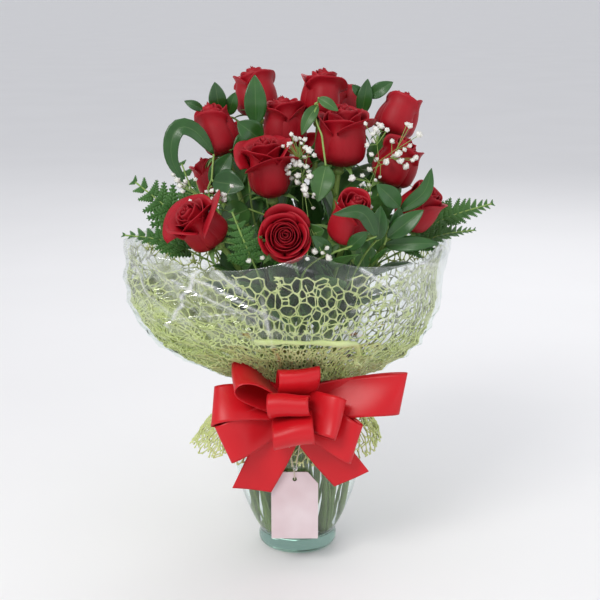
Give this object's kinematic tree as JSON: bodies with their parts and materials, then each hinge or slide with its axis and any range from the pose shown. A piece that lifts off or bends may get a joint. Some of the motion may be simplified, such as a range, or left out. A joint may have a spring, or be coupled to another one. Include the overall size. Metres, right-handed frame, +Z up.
{
  "type": "roses in a vase",
  "caption": "Red roses with ruscus, fern and gypsophila in a clear glass vase of water, its neck wrapped in pale green mesh and clear film, with a red ribbon bow and a bare card tag.",
  "frame": {"origin": "middle of the underside of the vase's foot, on the surface it stands on", "axes": "+Z up the vase's axis, -Y towards the bow and tag, +X to the right of someone who faces the bow"},
  "size_m": [0.3508, 0.2628, 0.4796],
  "materials": {
    "glass": "clear pressed glass with a faint green cast, deepest in the thick foot",
    "water": "still clear water",
    "petal": "deep red velvety rose petals, darker in their folds",
    "stem": "green cut stem with small reddish thorns",
    "ruscus_leaf": "glossy dark green pointed leaves with fine lengthwise veins",
    "fern_leaf": "mid green satin fern leaflets",
    "gypsophila_flower": "matte white double flowers on fine green twigs",
    "mesh_fibre": "pale lime fibre threads set in an open web of stars",
    "clear_film": "crisp clear film with sharp highlights along its creases",
    "ribbon_satin": "bright red satin ribbon with a fine woven edge",
    "tag_card": "pale pinkish card with a faint fibre",
    "tag_cord": "cream twisted cotton string"
  },
  "bodies": {
    "root": {"vase": "glass", "water": "water", "rose_bloom_01": "petal", "rose_bloom_02": "petal", "rose_bloom_03": "petal", "rose_bloom_04": "petal", "rose_bloom_05": "petal", "rose_bloom_06": "petal", "rose_bloom_07": "petal", "rose_bloom_08": "petal", "rose_bloom_09": "petal", "rose_bloom_10": "petal", "rose_bloom_11": "petal", "rose_bloom_12": "petal", "rose_bloom_13": "petal", "rose_bloom_14": "petal", "rose_bloom_15": "petal", "rose_bloom_16": "petal", "rose_stem_01": "stem", "rose_stem_02": "stem", "rose_stem_03": "stem", "rose_stem_04": "stem", "rose_stem_05": "stem", "rose_stem_06": "stem", "rose_stem_07": "stem", "rose_stem_08": "stem", "rose_stem_09": "stem", "rose_stem_10": "stem", "rose_stem_11": "stem", "rose_stem_12": "stem", "rose_stem_13": "stem", "rose_stem_14": "stem", "rose_stem_15": "stem", "rose_stem_16": "stem", "ruscus_01": "ruscus_leaf", "ruscus_02": "ruscus_leaf", "ruscus_03": "ruscus_leaf", "ruscus_04": "ruscus_leaf", "ruscus_05": "ruscus_leaf", "ruscus_06": "ruscus_leaf", "fern_01": "fern_leaf", "fern_02": "fern_leaf", "fern_03": "fern_leaf", "fern_04": "fern_leaf", "fern_05": "fern_leaf", "fern_06": "fern_leaf", "fern_07": "fern_leaf", "gypsophila_01": "gypsophila_flower", "gypsophila_02": "gypsophila_flower", "gypsophila_03": "gypsophila_flower", "mesh_wrap": "mesh_fibre", "film_wrap": "clear_film", "ribbon_tie": "ribbon_satin", "ribbon_bow": "ribbon_satin", "tag": "tag_card", "tag_string": "tag_cord", "tag_bead": "tag_cord"}
  },
  "joints": []
}
